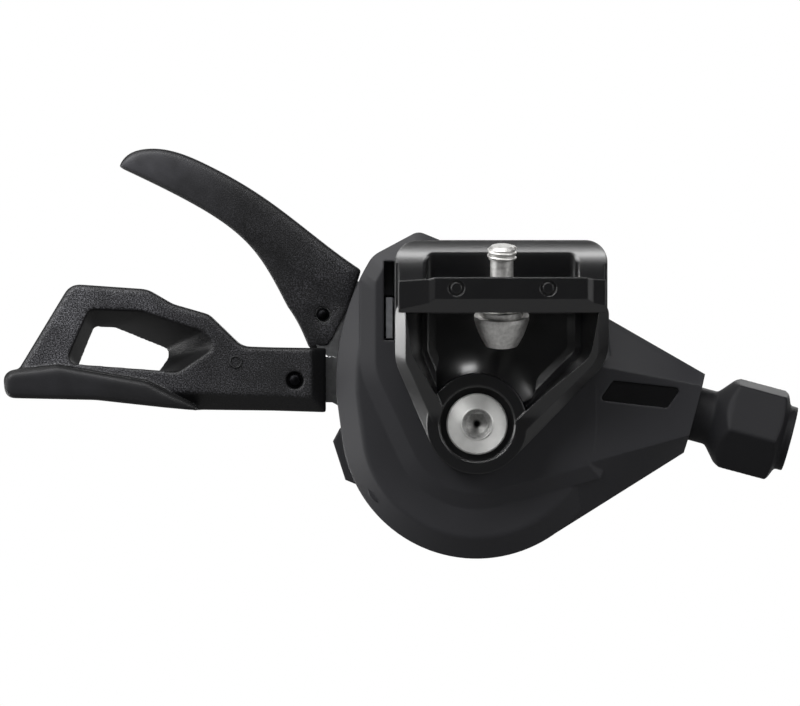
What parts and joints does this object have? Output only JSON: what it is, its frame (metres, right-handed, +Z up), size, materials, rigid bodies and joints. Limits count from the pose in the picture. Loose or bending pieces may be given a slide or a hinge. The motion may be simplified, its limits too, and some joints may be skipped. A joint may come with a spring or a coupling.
{
  "type": "trigger gear shifter",
  "caption": "Bicycle trigger shifter with a looped release lever, a curved main lever, a hexagonal cable adjuster and a saddle bracket with a clamp bolt.",
  "frame": {"origin": "on the clamp bolt's axis, at the shoulder of its thread", "axes": "+X along the handlebar toward the cable adjuster, +Y along the lever axle away from the bracket toward the rear cover, +Z up toward the handlebar"},
  "size_m": [0.1207, 0.0444, 0.0623],
  "materials": {
    "bracket_paint": "satin black paint on a die-cast block",
    "cover_plastic": "matte charcoal moulded nylon",
    "lever_plastic": "fine-textured moulded nylon",
    "knob_plastic": "satin moulded plastic",
    "label_gloss": "glossy dark panel, bare",
    "bolt_silver": "bright plated steel",
    "plate_steel": "bright stamped steel",
    "wheel_steel": "hardened steel",
    "spring_steel": "spring wire",
    "spool_plastic": "pale acetal",
    "bush_brass": "sintered bronze",
    "core_alloy": "turned alloy"
  },
  "bodies": {
    "housing": {"bracket": "bracket_paint", "axle_bolt": "bolt_silver", "axle_sleeve": "plate_steel", "axle_washer": "plate_steel", "axle_nut": "plate_steel", "base_plate": "plate_steel", "front_cover": "cover_plastic", "rear_cover": "cover_plastic", "access_cap": "cover_plastic", "label_panel": "label_gloss", "cover_screws": "bolt_silver", "hold_pawl_pin": "plate_steel", "spring_post": "plate_steel", "hold_pawl_spring": "spring_steel", "release_spring": "spring_steel", "spool_spring": "spring_steel", "main_spring": "spring_steel", "adjuster_insert": "bush_brass", "click_spring": "spring_steel"},
    "main_lever": {"main_plate": "plate_steel", "main_bush": "bush_brass", "main_paddle": "lever_plastic", "main_rivet": "plate_steel", "drive_pawl_pin": "plate_steel"},
    "release_lever": {"release_plate": "plate_steel", "release_bush": "bush_brass", "release_paddle": "lever_plastic", "release_rivet": "plate_steel"},
    "spool": {"cable_spool": "spool_plastic", "index_wheel": "wheel_steel", "drive_ratchet": "wheel_steel"},
    "holding_pawl": {"hold_pawl": "wheel_steel"},
    "driving_pawl": {"drive_pawl": "wheel_steel"},
    "ring": {"click_ring": "spool_plastic"},
    "adjuster": {"adjuster_knob": "knob_plastic", "adjuster_core": "core_alloy"},
    "clamp": {"clamp_bolt": "bolt_silver", "clamp_washer": "bolt_silver"}
  },
  "joints": [
    {"name": "main_lever_swing", "type": "hinge", "parent": "housing", "child": "main_lever", "pos_m": [-0.0037, 0.0104, -0.025], "axis": [0, -1, 0], "range_deg": [0, 40], "stiffness_Nm_per_rad": 0.1, "springref_deg": -28.65},
    {"name": "release_lever_swing", "type": "hinge", "parent": "housing", "child": "release_lever", "pos_m": [-0.0037, 0.0104, -0.025], "axis": [0, -1, 0], "range_deg": [-9, 9], "stiffness_Nm_per_rad": 0.3},
    {"name": "spool_turn", "type": "hinge", "parent": "housing", "child": "spool", "pos_m": [-0.0037, 0.0104, -0.025], "axis": [0, -1, 0], "range_deg": [0, 180]},
    {"name": "hold_pawl_swing", "type": "hinge", "parent": "housing", "child": "holding_pawl", "pos_m": [0.00513, 0.0104, -0.03761], "axis": [0, -1, 0], "range_deg": [0, 8], "stiffness_Nm_per_rad": 0.01},
    {"name": "drive_pawl_swing", "type": "hinge", "parent": "main_lever", "child": "driving_pawl", "pos_m": [-0.00008, 0.0104, -0.01148], "axis": [0, -1, 0], "range_deg": [0, 8], "stiffness_Nm_per_rad": 0.01},
    {"name": "adjuster_turn", "type": "hinge", "parent": "housing", "child": "ring", "pos_m": [0.0295, 0.0166, -0.02345], "axis": [0.9659, 0, -0.2588], "range_deg": [0, 1440]},
    {"name": "adjuster_advance", "type": "slide", "parent": "ring", "child": "adjuster", "axis": [0.9659, 0, -0.2588], "range_m": [0, 0.0032]},
    {"name": "clamp_slide", "type": "slide", "parent": "housing", "child": "clamp", "axis": [1, 0, 0], "range_m": [-0.007, 0.007]}
  ],
  "couplings": [
    {"joint": "adjuster_turn", "follows": "adjuster_advance", "rad_per_m": 7854}
  ]
}
